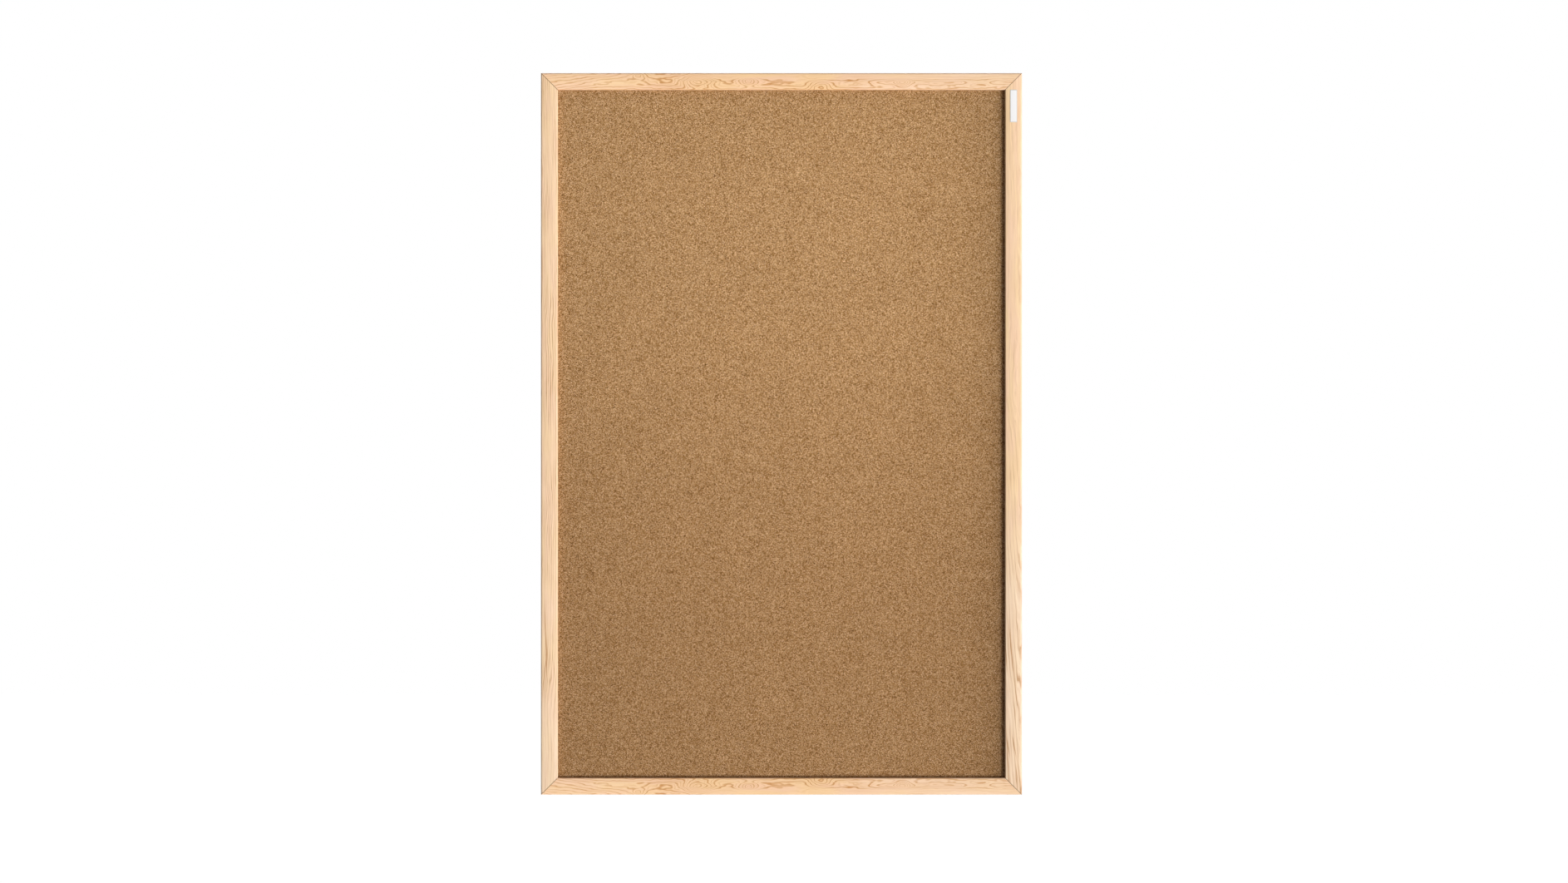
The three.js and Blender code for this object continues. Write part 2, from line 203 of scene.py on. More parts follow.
def cutAway(piece, cutters):
    toolMesh = bpy.data.meshes.new("tool")
    gathered = bmesh.new()
    for cutter in cutters:
        part = bpy.data.meshes.new("toolPart")
        cutter.to_mesh(part)
        cutter.free()
        gathered.from_mesh(part)
        bpy.data.meshes.remove(part)
    gathered.to_mesh(toolMesh)
    gathered.free()
    tool = bpy.data.objects.new("tool", toolMesh)
    bpy.context.scene.collection.objects.link(tool)
    cut = piece.modifiers.new("cut", "BOOLEAN")
    cut.operation = "DIFFERENCE"
    cut.solver = "EXACT"
    cut.object = tool
    finishMesh(piece)
    bpy.data.objects.remove(tool)
    bpy.data.meshes.remove(toolMesh)


def softEdges(piece, width, segments=2, angle=35):
    bevel = piece.modifiers.new("softEdges", "BEVEL")
    bevel.width = width
    bevel.segments = segments
    bevel.limit_method = "ANGLE"
    bevel.angle_limit = math.radians(angle)


def movedVerts(result):
    return [item for item in result["geom"] if isinstance(item, bmesh.types.BMVert)]


# Pine. Each member's grain follows its length; across is the distance in from its outer edge.

railTones = {
    "early": linear(252, 213, 165),
    "earlyPink": linear(252, 210, 174),
    "pale": linear(252, 222, 192),
    "late": linear(223, 169, 111),
    "resin": linear(209, 149, 90),
}

stileTones = {
    "early": linear(253, 218, 171),
    "earlyPink": linear(254, 215, 180),
    "pale": linear(254, 231, 204),
    "late": linear(222, 180, 138),
    "resin": linear(196, 149, 106),
}

softLines = [
    (0.0, 0.12), (0.10, 0.0), (0.26, 0.04), (0.34, 0.22), (0.42, 0.06),
    (0.58, 0.30), (0.76, 0.90), (0.86, 1.0), (0.94, 0.62), (1.0, 0.12),
]
thinLines = [
    (0.0, 0.10), (0.08, 0.0), (0.24, 0.04), (0.32, 0.20), (0.40, 0.05),
    (0.66, 0.14), (0.79, 0.80), (0.87, 1.0), (0.94, 0.55), (1.0, 0.10),
]

railFigure = {
    "tones": railTones,
    "lines": thinLines,  # how dark a ring is from one year's start to its end
    "between": [(-0.21, 0.0), (-0.15, 0.60), (-0.04, 0.60), (0.02, 0.36)],  # fainter lines
    "seed": 3.7,
    "start": 0.95,
    "warp": (0.012, 0.0030, 0.0),
    "wave": (0.8, (20, 75, 40)),  # rings of swing and its scale
    "ripple": (0.55, (75, 240, 90)),
    "lineStrength": (0.60, 1.0),
    "streaks": (0.20, 26, 2.6),
    "pale": [(-0.26, 0.25), (-0.15, 0.0), (0.04, 0.0), (0.24, 0.55)],
    "rise": [(-0.30, -5.0), (-0.19, 0.0)],  # ring number along the bar
    "across": [(0.0, -2.2), (0.0075, -0.5), (0.011, 0.0), (0.015, 0.0), (0.021, 1.4)],  # and across it
    "slope": [(-0.24, 120.0), (-0.16, 0.0)],  # extra rings a metre across, which fade out along it
    "calm": (0.75, [(-0.11, 0.0), (-0.07, 1.0)], [(0.0060, 1.0), (0.0090, 0.0)]),
    "eyes": [  # along, across, half length, half width, rings
        (-0.177, 0.0035, 0.0070, 0.0040, 2.6),
        (-0.145, 0.0115, 0.0160, 0.0040, -0.9),
        (-0.104, 0.0110, 0.0170, 0.0080, 4.4),
        (-0.041, 0.0095, 0.0130, 0.0050, 3.8),
        (0.050, 0.0160, 0.0140, 0.0055, 3.6),
        (0.140, 0.0120, 0.0300, 0.0048, 3.0),
        (0.153, 0.0115, 0.0085, 0.0060, 3.2),
        (0.207, 0.0125, 0.0280, 0.0036, 2.0),
        (0.285, 0.0115, 0.0260, 0.0036, 2.0),
    ],
    "stains": [  # along, across, slope, half length, half width, strength
        (-0.222, 0.0125, 0.0, 0.016, 0.0022, -0.60),
        (0.119, 0.0172, 0.0, 0.016, 0.0028, -0.50),
        (0.168, 0.0178, 0.0, 0.012, 0.0022, -0.60),
    ],
}

leftFigure = {
    "tones": stileTones,
    "lines": softLines,
    "between": [(0.0, 0.0)],
    "seed": 11.3,
    "start": 0.0,
    "warp": (0.010, 0.0012, 0.0),
    "wave": (1.0, (7, 60, 30)),
    "ripple": (0.35, (45, 260, 90)),
    "lineStrength": (0.30, 0.85),
    "streaks": (0.40, 24, 1.9),
    "pale": [(-0.42, 0.60), (-0.30, 0.30), (-0.10, 0.22)],
    "rise": [(-0.45, 1.8), (-0.20, 0.0)],
    "across": [(0.0, 0.0), (0.010, 4.8), (0.021, 8.6)],
    "slope": [(0.10, 0.0), (0.45, 90.0)],
    "calm": (0.35, [(-0.35, 1.0), (0.20, 0.0)], [(0.0, 1.0), (0.021, 1.0)]),
    "eyes": [
        (-0.345, 0.0060, 0.0500, 0.0140, 2.0),
        (-0.092, 0.0110, 0.0200, 0.0080, -1.1),
        (0.130, 0.0080, 0.0240, 0.0080, 0.9),
        (0.318, 0.0070, 0.0300, 0.0120, -1.3),
    ],
    "stains": [
        (-0.262, 0.0063, -0.034, 0.050, 0.0006, 0.95),
        (-0.297, 0.0050, 0.100, 0.022, 0.0006, 0.75),
        (-0.275, 0.0082, -0.060, 0.016, 0.0005, 0.55),
        (-0.285, 0.0155, -0.080, 0.014, 0.0006, 0.50),
    ],
}

rightFigure = {
    "tones": stileTones,
    "lines": softLines,
    "between": [(0.0, 0.15)],
    "seed": 23.9,
    "start": 0.0,
    "warp": (0.014, 0.0012, 0.0),
    "wave": (1.3, (8, 55, 30)),
    "ripple": (0.35, (40, 260, 90)),
    "lineStrength": (0.28, 0.80),
    "streaks": (0.40, 24, 3.4),
    "pale": [(-0.20, 0.72), (-0.06, 0.08)],
    "rise": [(-0.45, 9.0), (0.05, 0.0)],
    "across": [(0.0, 0.0), (0.021, 4.2)],
    "slope": [(-0.45, 0.0), (0.45, 0.0)],
    "calm": (0.75, [(-0.28, 0.0), (0.06, 1.0)], [(0.0, 1.0), (0.021, 1.0)]),
    "eyes": [],
    "stains": [
        (-0.391, 0.0095, 0.180, 0.012, 0.0005, 0.95),
        (-0.386, 0.0110, 0.060, 0.010, 0.0005, 0.60),
        (-0.396, 0.0163, 0.160, 0.010, 0.0006, 0.55),
        (-0.427, 0.0062, 0.120, 0.016, 0.0006, 0.50),
        (-0.302, 0.0092, 0.080, 0.040, 0.0006, 0.45),
        (-0.253, 0.0150, 0.105, 0.026, 0.0006, 0.50),
    ],
}

glueLine = {"near": 0.0001, "far": 0.0008, "share": 0.95, "tone": linear(116, 76, 40)}

pine = {  # scales are noise cells a metre along, across and into the bar
    "ringWidth": 0.0031,
    "warpScale": (38, 110, 60),
    "patchScale": (14, 70, 70),
    "patchRange": (0.36, 0.64),
    "faintShift": 0.35,  # how far the fainter lines lie from the strong ones, in their own rings
    "streakRange": (0.38, 0.66),
    "blotchScale": (16, 90, 60),
    "blotchRange": (0.38, 0.62),
    "fibreScale": (22, 1500, 1500),
    "fibreShade": (0.90, 1.10),
    "shine": 0.35,
    "roughness": (0.46, 0.62),
    "lineHeight": 0.6,
    "relief": (0.35, 0.00012),
}
middleGrey = (0.5, 0.5, 0.5)  # what a noise's colour is on average


def curveOf(tree, value, points):  # straight runs from each point to the next
    total = points[0][1]
    for (start, low), (end, high) in zip(points, points[1:]):
        total = calc(tree, "ADD", spread(tree, value, 0.0, high - low, start, end), total)
    return total


def ringField(tree, along, across, depth, figure):
    vector = vectorOf(tree, along, across, depth)
    seeded = vectorCalc(tree, "ADD", vector, (figure["seed"], 0, 0))
    warp = stretchedNoise(tree, seeded, pine["warpScale"]).outputs["Color"]
    warp = vectorCalc(tree, "SUBTRACT", warp, middleGrey)
    vector = vectorCalc(tree, "MULTIPLY_ADD", warp, figure["warp"], vector)
    rings = calc(tree, "MULTIPLY_ADD", depth, 1 / pine["ringWidth"], figure["start"])
    rings = calc(tree, "ADD", rings, curveOf(tree, along, figure["rise"]))
    rings = calc(tree, "ADD", rings, curveOf(tree, across, figure["across"]))
    rings = calc(tree, "MULTIPLY_ADD", across, curveOf(tree, along, figure["slope"]), rings)
    for amount, scales in (figure["wave"], figure["ripple"]):
        swing = stretchedNoise(tree, seeded, scales, detail=1.0, roughness=0.4).outputs[0]
        rings = calc(tree, "MULTIPLY_ADD", calc(tree, "SUBTRACT", swing, 0.5), 2 * amount, rings)
    for alongAt, acrossAt, halfLength, halfWidth, count in figure["eyes"]:
        offset = vectorCalc(tree, "SUBTRACT", vector, (alongAt, acrossAt, 0))
        scaled = vectorCalc(tree, "MULTIPLY", offset, (1 / halfLength, 1 / halfWidth, 0))
        rings = calc(tree, "MULTIPLY_ADD", bell(tree, scaled), count, rings)
    return rings, seeded


def lineStrength(tree, along, across, seeded, figure):
    patches = stretchedNoise(tree, seeded, pine["patchScale"], detail=1.0).outputs[0]
    strength = spread(tree, patches, *figure["lineStrength"], *pine["patchRange"])
    share, alongPoints, acrossPoints = figure["calm"]
    calmAlong = curveOf(tree, along, alongPoints)
    calm = calc(tree, "MULTIPLY", calmAlong, curveOf(tree, across, acrossPoints))
    return calc(tree, "MULTIPLY", strength, calc(tree, "MULTIPLY_ADD", calm, -share, 1.0))


def pineSurface(name, alongAxis, acrossAxis, halfAlong, halfAcross, figure):
    tones = figure["tones"]
    surface, tree, shader, place = newSurface(name, {"Specular IOR Level": pine["shine"]})
    axes = put(tree, "SeparateXYZ", {0: place}).outputs
    along = axes[alongAxis]
    across = calc(tree, "SUBTRACT", halfAcross, calc(tree, "ABSOLUTE", axes[acrossAxis]))
    rings, seeded = ringField(tree, along, across, axes["Y"], figure)
    line = ramp(tree, calc(tree, "FRACT", rings), figure["lines"])
    doubled = calc(tree, "MULTIPLY_ADD", rings, 2.0, pine["faintShift"])
    faint = ramp(tree, calc(tree, "FRACT", doubled), figure["lines"])
    line = calc(tree, "MULTIPLY_ADD", faint, curveOf(tree, along, figure["between"]), line)
    line = calc(tree, "MULTIPLY", line, lineStrength(tree, along, across, seeded, figure))
    share, alongScale, ringScale = figure["streaks"]
    streakAlong = calc(tree, "MULTIPLY", along, alongScale)
    streakAcross = calc(tree, "MULTIPLY", rings, ringScale)
    streakPlace = vectorOf(tree, streakAlong, streakAcross, figure["seed"])
    streak = softNoise(tree, streakPlace, 1.0, detail=3.0, roughness=0.65).outputs[0]
    streak = fadeIn(tree, streak, pine["streakRange"])
    line = calc(tree, "MULTIPLY_ADD", streak, share, line)
    for alongAt, acrossAt, slope, halfLength, halfWidth, amount in figure["stains"]:
        fromMiddle = calc(tree, "SUBTRACT", along, alongAt)
        fromAxis = calc(tree, "SUBTRACT", across, acrossAt)
        fromAxis = calc(tree, "SUBTRACT", fromAxis, calc(tree, "MULTIPLY", fromMiddle, slope))
        lengthwise = calc(tree, "DIVIDE", fromMiddle, halfLength)
        crosswise = calc(tree, "DIVIDE", fromAxis, halfWidth)
        stain = bell(tree, vectorOf(tree, lengthwise, crosswise))
        line = calc(tree, "MULTIPLY_ADD", stain, amount, line)
    blotch = stretchedNoise(tree, seeded, pine["blotchScale"]).outputs[0]
    blotch = fadeIn(tree, blotch, pine["blotchRange"])
    early = mixColors(tree, blotch, tones["early"], tones["earlyPink"])
    early = mixColors(tree, curveOf(tree, along, figure["pale"]), early, tones["pale"])
    late = mixColors(tree, calc(tree, "MULTIPLY", line, line), tones["late"], tones["resin"])
    color = mixColors(tree, line, early, late)
    fibre = stretchedNoise(tree, seeded, pine["fibreScale"], detail=3.0, roughness=0.6).outputs[0]
    toEnd = calc(tree, "SUBTRACT", halfAlong, calc(tree, "ABSOLUTE", along))
    fromMitre = calc(tree, "ABSOLUTE", calc(tree, "SUBTRACT", toEnd, across))
    glue = spread(tree, fromMitre, glueLine["share"], 0.0, glueLine["near"], glueLine["far"])
    color = mixColors(tree, glue, color, glueLine["tone"])
    grey = greyOf(tree, spread(tree, fibre, *pine["fibreShade"]))
    height = calc(tree, "MULTIPLY_ADD", line, pine["lineHeight"], fibre)
    join(tree, shader, {
        "Base Color": mixColors(tree, 1.0, color, grey, "MULTIPLY"),
        "Roughness": spread(tree, fibre, *pine["roughness"]),
        "Normal": relief(tree, height, *pine["relief"]),
    })
    return surface


bar = {
    "faceWidth": 0.021,
    "bandWidth": 0.013,
    "lipThickness": 0.006,
    "crown": 0.0006,
    "crownCuts": 9,
    "outerRadius": 0.0020,
    "outerSteps": 7,
    "innerRadius": 0.0014,
    "innerSteps": 6,
    "backRadius": 0.0005,
    "backSteps": 3,
    "mitreGap": 0.000004,
    "mitreEase": 0.0001,
    "mitreSteps": 2,
    "slotRoom": 0.00018,
}


def longEdges(bm, across, level, reach):
    found = []
    for edge in bm.edges:
        first, second = (vert.co for vert in edge.verts)
        lengthwise = abs(first.x - second.x) > bar["faceWidth"]
        inLine = abs(first.y - level) < touching and abs(reach - first.z - across) < touching
        if lengthwise and inLine:
            found.append(edge)
    return found


def barMesh(length, reach, front, back):
    bm = bmesh.new()
    face, band = bar["faceWidth"], bar["bandWidth"]
    lipBack = front + bar["lipThickness"]
    brow = front + bar["crown"]
    outline = [(0, back), (band, back), (band, lipBack), (face, lipBack), (face, brow), (0, brow)]
    corners = [bm.verts.new((-length / 2, y, reach - across)) for across, y in outline]
    section = bm.faces.new(corners)
    frontEdge = bm.edges.get((corners[4], corners[5]))
    crown = bmesh.ops.subdivide_edges(bm, edges=[frontEdge], cuts=bar["crownCuts"])
    for vert in [item for item in crown["geom_inner"] if isinstance(item, bmesh.types.BMVert)]:
        away = 2 * (reach - vert.co.z) / face - 1
        vert.co.y = front + bar["crown"] * away * away
    run = movedVerts(bmesh.ops.extrude_face_region(bm, geom=[section]))
    bmesh.ops.translate(bm, verts=run, vec=(length, 0, 0))
    rounded = [
        (0, brow, bar["outerRadius"], bar["outerSteps"]),
        (face, brow, bar["innerRadius"], bar["innerSteps"]),
        (0, back, bar["backRadius"], bar["backSteps"]),
        (band, back, bar["backRadius"], bar["backSteps"]),
        (face, lipBack, bar["mitreEase"], bar["mitreSteps"]),
    ]
    for across, level, radius, segments in rounded:
        edges = longEdges(bm, across, level, reach)
        bmesh.ops.bevel(bm, geom=edges, offset=radius, segments=segments, profile=0.5,
                        affect="EDGES", material=-1)
    pull = bar["mitreGap"] / math.sqrt(2)
    for side in (-1, 1):
        planePoint = (side * (length / 2 - pull), 0, reach)
        everything = bm.verts[:] + bm.edges[:] + bm.faces[:]
        bmesh.ops.bisect_plane(bm, geom=everything, plane_co=planePoint, plane_no=(side, 0, -1),
                               clear_outer=True, dist=sameSpot)
        rim = [edge for edge in bm.edges if edge.is_boundary]
        bmesh.ops.holes_fill(bm, edges=rim, sides=0)
        bmesh.ops.bevel(bm, geom=rim, offset=bar["mitreEase"], segments=bar["mitreSteps"],
                        profile=0.5, affect="EDGES", material=-1)
    return bm


def meets(first, second):
    lowA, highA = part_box(first)
    lowB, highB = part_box(second)
    return all(lowA[i] < highB[i] and lowB[i] < highA[i] for i in range(3))


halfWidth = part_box("frame_stile_right")[1].x
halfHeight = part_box("frame_rail_top")[1].z
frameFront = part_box("frame_rail_top")[0].y
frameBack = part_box("frame_rail_top")[1].y

railPine = pineSurface("pineRails", "X", "Z", halfWidth, halfHeight, railFigure)
leftPine = pineSurface("pineLeft", "Z", "X", halfHeight, halfWidth, leftFigure)
rightPine = pineSurface("pineRight", "Z", "X", halfHeight, halfWidth, rightFigure)
barPlans = [  # node, piece, length, reach, quarter turns, material
    ("frame_rail_top", "frameTop", 2 * halfWidth, halfHeight, 0, railPine),
    ("frame_stile_right", "frameRight", 2 * halfHeight, halfWidth, 1, rightPine),
    ("frame_rail_bottom", "frameBottom", 2 * halfWidth, halfHeight, 2, railPine),
    ("frame_stile_left", "frameLeft", 2 * halfHeight, halfWidth, 3, leftPine),
]
fasteners = [name for name in nodes if name.startswith(("v_nail", "backing_tab")) or "_screw_" in name]

for node, pieceName, length, reach, turns, surface in barPlans:
    bm = barMesh(length, reach, frameFront, frameBack)
    quarters = Matrix.Rotation(turns * math.pi / 2, 3, "Y")
    bmesh.ops.rotate(bm, verts=bm.verts, cent=(0, 0, 0), matrix=quarters)
    piece = shape(bm, pieceName, surface)
    held = [name for name in fasteners if meets(node, name)]
    cutAway(piece, [mergedCopy(name, bar["slotRoom"]) for name in held])
    evenNormals(piece)
    settle(piece, "board", node)
    print("frame member", pieceName, "with", len(held), "slots,", len(piece.data.polygons), "faces")


# Cork sheet: bound granules with dark bark specks, pressed and sanded but still uneven

cork = {
    "granules": 1200,
    "crumbs": 2600,
    "bark": linear(88, 50, 15),
    "brown": linear(143, 99, 52),
    "middle": linear(182, 137, 85),
    "light": linear(207, 165, 117),
    "fleck": linear(237, 199, 156),
    "tonePlaces": (0.10, 0.24, 0.50, 0.74, 0.90),  # from bark to fleck
    # painted light and shade: the cork lighter towards the top, darker low down and just under the top
    # rail
    "toneUp": [
        (-0.43, 0.84), (-0.25, 0.87), (-0.05, 0.96), (0.12, 1.06), (0.30, 1.09),
        (0.41, 1.05), (0.43, 0.93),
    ],
    # painted light and shade: a painted shadow beside the right stile's lip, slight painted shade by
    # the left stile, lightest just right of the middle
    "toneAcross": [
        (-0.28, 0.88), (-0.26, 0.91), (-0.20, 0.95), (-0.10, 0.99), (0.08, 1.03),
        (0.15, 1.015), (0.20, 0.98), (0.235, 0.93), (0.262, 0.83), (0.272, 0.70), (0.28, 0.62),
    ],
    "warmth": (1.016, 0.983, 0.970, 1.0),
    "warmUp": [(-0.20, 1.0), (0.20, 0.0)],
    "contrast": 1.12,
    "bend": 0.0012,  # how far the granules' outlines are pulled about, and the scale of that
    "bendScale": 700,
    "granuleShare": 0.62,
    "crumbShare": 0.38,
    "seam": [(0.35, 1.0), (0.75, 0.82)],  # darker towards a granule's edge
    "gritScale": 3600,
    "gritShade": (0.92, 1.08),
    "cloudScale": 26,
    "cloudShade": (0.93, 1.07),
    "heights": (0.7, 0.3, 0.6),  # of granules, crumbs and seams
    "shine": 0.2,
    "roughness": (0.78, 0.95),
    "relief": (0.5, 0.0002),
    "columns": 243,  # the mesh, and how far and how finely its face goes up and down
    "rows": 371,
    "grainHeight": 0.00006,
    "grainScale": 640,
    "swellHeight": 0.00006,
    "swellScale": 90,
}


def corkSurface():
    surface, tree, shader, place = newSurface("corkGranules", {"Specular IOR Level": cork["shine"]})
    shift = softNoise(tree, place, cork["bendScale"], detail=2.0).outputs["Color"]
    shift = vectorCalc(tree, "SUBTRACT", shift, middleGrey)
    shift = put(tree, "VectorMath", {0: shift, "Scale": cork["bend"]}, operation="SCALE").outputs[0]
    bent = vectorCalc(tree, "ADD", place, shift)
    granule = put(tree, "TexVoronoi", {"Vector": bent, "Scale": cork["granules"]})
    crumb = put(tree, "TexVoronoi", {"Vector": bent, "Scale": cork["crumbs"]})
    granuleShade = put(tree, "SeparateColor", {0: granule.outputs["Color"]}).outputs
    crumbShade = put(tree, "SeparateColor", {0: crumb.outputs["Color"]}).outputs
    chance = calc(tree, "MULTIPLY", crumbShade[0], cork["crumbShare"])
    chance = calc(tree, "MULTIPLY_ADD", granuleShade[0], cork["granuleShare"], chance)
    contrast = cork["contrast"]
    chance = calc(tree, "MULTIPLY_ADD", chance, contrast, 0.5 - 0.5 * contrast)
    tones = [cork[tone] for tone in ("bark", "brown", "middle", "light", "fleck")]
    color = ramp(tree, chance, list(zip(cork["tonePlaces"], tones)))
    seam = ramp(tree, granule.outputs["Distance"], cork["seam"])
    grit = softNoise(tree, place, cork["gritScale"], detail=2.0).outputs[0]
    grit = spread(tree, grit, *cork["gritShade"])
    cloud = softNoise(tree, place, cork["cloudScale"], detail=4.0, roughness=0.6).outputs[0]
    cloud = spread(tree, cloud, *cork["cloudShade"])
    axes = put(tree, "SeparateXYZ", {0: place}).outputs
    # painted light and shade up and across the board, multiplied into the colour below
    toneUp = curveOf(tree, axes["Z"], cork["toneUp"])
    toneAcross = curveOf(tree, axes["X"], cork["toneAcross"])
    shade = calc(tree, "MULTIPLY", calc(tree, "MULTIPLY", seam, grit), cloud)
    shade = calc(tree, "MULTIPLY", shade, calc(tree, "MULTIPLY", toneUp, toneAcross))
    granuleHeight, crumbHeight, seamHeight = cork["heights"]
    height = calc(tree, "MULTIPLY", seam, seamHeight)
    height = calc(tree, "MULTIPLY_ADD", granuleShade[1], granuleHeight, height)
    height = calc(tree, "MULTIPLY_ADD", crumbShade[1], crumbHeight, height)
    warmth = curveOf(tree, axes["Z"], cork["warmUp"])
    warm = mixColors(tree, 1.0, color, cork["warmth"], "MULTIPLY")
    color = mixColors(tree, warmth, color, warm)
    join(tree, shader, {
        "Base Color": mixColors(tree, 1.0, color, greyOf(tree, shade), "MULTIPLY"),
        "Roughness": spread(tree, granuleShade[2], *cork["roughness"]),
        "Normal": relief(tree, height, *cork["relief"]),
    })
    return surface


def corkMesh():
    low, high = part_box("cork_sheet")
    bm = bmesh.new()
    bmesh.ops.create_grid(bm, x_segments=cork["columns"], y_segments=cork["rows"], size=0.5)
    bmesh.ops.scale(bm, verts=bm.verts, vec=(high.x - low.x, high.z - low.z, 1))
    seat = Matrix.Translation((0, low.y + cork["grainHeight"], 0))
    bmesh.ops.transform(bm, verts=bm.verts, matrix=seat @ Matrix.Rotation(math.pi / 2, 4, "X"))
    rim = [edge for edge in bm.edges if edge.is_boundary]
    for vert in bm.verts:
        grain = noise.noise(vert.co * cork["grainScale"]) * cork["grainHeight"]
        swell = noise.noise(vert.co * cork["swellScale"]) * cork["swellHeight"]
        vert.co.y += grain + swell
    skirt = bmesh.ops.extrude_edge_only(bm, edges=rim)
    skirtEdges = [item for item in skirt["geom"] if isinstance(item, bmesh.types.BMEdge)]
    for vert in movedVerts(skirt):
        vert.co.y = high.y
    bmesh.ops.contextual_create(bm, geom=[edge for edge in skirtEdges if edge.is_boundary])
    return bm


corkPiece = shape(corkMesh(), "corkFace", corkSurface(), smoothAngle=60)
settle(corkPiece, "board", "cork_sheet")
print("cork face:", len(corkPiece.data.polygons), "faces")


# Metal, rubber and the boards behind the cork

zinc = {
    "shades": (linear(158, 161, 165), linear(192, 195, 198)),
    "roughness": (0.26, 0.42),
    "grain": 420,
}
tabMetal = {
    "shades": (linear(146, 149, 153), linear(182, 185, 188)),
    "roughness": (0.30, 0.50),
    "grain": 520,
}
wire = {
    "shades": (linear(182, 180, 176), linear(206, 204, 200)),
    "roughness": (0.12, 0.24),
    "grain": 300,
}
steel = {  # speck and rub scales are times a metal's own grain
    "speckScale": 2.2,
    "speckShare": 0.35,
    "bloomShare": 0.65,
    "rubScale": 9,
    "relief": (0.12, 0.00003),
}


def steelSurface(name, metal):
    surface, tree, shader, place = newSurface(name, {"Metallic": 1.0})
    grain = metal["grain"]
    bloom = softNoise(tree, place, grain, detail=3.0, roughness=0.6).outputs[0]
    speck = put(tree, "TexVoronoi", {"Vector": place, "Scale": grain * steel["speckScale"]})
    speck = put(tree, "SeparateColor", {0: speck.outputs["Color"]}).outputs[0]
    shade = calc(tree, "MULTIPLY", bloom, steel["bloomShare"])
    shade = calc(tree, "MULTIPLY_ADD", speck, steel["speckShare"], shade)
    rub = softNoise(tree, place, grain * steel["rubScale"], detail=2.0).outputs[0]
    join(tree, shader, {
        "Base Color": mixColors(tree, shade, *metal["shades"]),
        "Roughness": spread(tree, shade, *metal["roughness"]),
        "Normal": relief(tree, rub, *steel["relief"]),
    })
    return surface


zincSteel = steelSurface("zincSteel", zinc)
tabSteel = steelSurface("tabSteel", tabMetal)
ringSteel = steelSurface("ringSteel", wire)

rubberLook = {
    "shades": (linear(46, 46, 47), linear(66, 66, 67)),
    "cloudScale": 600,
    "grainScale": 6500,
    "shine": 0.4,
    "roughness": (0.55, 0.75),
    "relief": (0.3, 0.00004),
}


def rubberSurface():
    look = rubberLook
    surface, tree, shader, place = newSurface("bumperRubber", {"Specular IOR Level": look["shine"]})
    cloud = softNoise(tree, place, look["cloudScale"], detail=3.0).outputs[0]
    grain = softNoise(tree, place, look["grainScale"], detail=2.0).outputs[0]
    join(tree, shader, {
        "Base Color": mixColors(tree, cloud, *look["shades"]),
        "Roughness": spread(tree, grain, *look["roughness"]),
        "Normal": relief(tree, grain, *look["relief"]),
    })
    return surface


hardboardLook = {  # shares are of fleck, fibre and cloud in its tone
    "tones": [(0.34, linear(98, 68, 45)), (0.50, linear(134, 97, 65)), (0.66, linear(163, 124, 86))],
    "shares": (0.35, 0.4, 0.25),
    "fibreStretch": (1, 1, 1.6),
    "fibreScale": 1300,
    "fleckStretch": (2.2, 1, 1),
    "fleckScale": 420,
    "cloudScale": 22,
    "meshPitch": 0.0016,  # of the screen it was pressed on
    "meshHeight": 0.5,
    "shine": 0.3,
    "roughness": (0.62, 0.82),
    "relief": (0.5, 0.00016),
}


def hardboardSurface():  # marked by the screen it was pressed on
    look = hardboardLook
    surface, tree, shader, place = newSurface("hardboard", {"Specular IOR Level": look["shine"]})
    fibrePlace = stretch(tree, place, look["fibreStretch"])
    fibre = softNoise(tree, fibrePlace, look["fibreScale"], detail=4.0, roughness=0.7).outputs[0]
    cloud = softNoise(tree, place, look["cloudScale"], detail=4.0, roughness=0.6).outputs[0]
    fleckPlace = stretch(tree, place, look["fleckStretch"])
    fleck = softNoise(tree, fleckPlace, look["fleckScale"], detail=3.0, roughness=0.6).outputs[0]
    fleckShare, fibreShare, cloudShare = look["shares"]
    tone = calc(tree, "MULTIPLY", cloud, cloudShare)
    tone = calc(tree, "MULTIPLY_ADD", fibre, fibreShare, tone)
    tone = calc(tree, "MULTIPLY_ADD", fleck, fleckShare, tone)
    axes = put(tree, "SeparateXYZ", {0: place}).outputs
    turnsPerMetre = 2 * math.pi / look["meshPitch"]
    across = calc(tree, "SINE", calc(tree, "MULTIPLY", axes["X"], turnsPerMetre))
    upward = calc(tree, "SINE", calc(tree, "MULTIPLY", axes["Z"], turnsPerMetre))
    weave = calc(tree, "MULTIPLY", across, upward)
    height = calc(tree, "MULTIPLY_ADD", weave, look["meshHeight"], fibre)
    join(tree, shader, {
        "Base Color": ramp(tree, tone, look["tones"]),
        "Roughness": spread(tree, fibre, *look["roughness"]),
        "Normal": relief(tree, height, *look["relief"]),
    })
    return surface


softboardLook = {
    "tones": [(0.3, linear(140, 112, 80)), (0.7, linear(182, 152, 114))],
    "fibreShare": 0.65,
    "cloudShare": 0.35,
    "fibreStretch": (1, 3, 1),
    "fibreScale": 700,
    "cloudScale": 40,
    "shine": 0.2,
    "roughness": (0.85, 0.98),
    "relief": (0.6, 0.0003),
}


def softboardSurface():
    look = softboardLook
    surface, tree, shader, place = newSurface("softboard", {"Specular IOR Level": look["shine"]})
    fibrePlace = stretch(tree, place, look["fibreStretch"])
    fibre = softNoise(tree, fibrePlace, look["fibreScale"], detail=4.0, roughness=0.7).outputs[0]
    cloud = softNoise(tree, place, look["cloudScale"], detail=3.0).outputs[0]
    tone = calc(tree, "MULTIPLY", cloud, look["cloudShare"])
    tone = calc(tree, "MULTIPLY_ADD", fibre, look["fibreShare"], tone)
    join(tree, shader, {
        "Base Color": ramp(tree, tone, look["tones"]),
        "Roughness": spread(tree, fibre, *look["roughness"]),
        "Normal": relief(tree, fibre, *look["relief"]),
    })
    return surface


# The label on the right stile

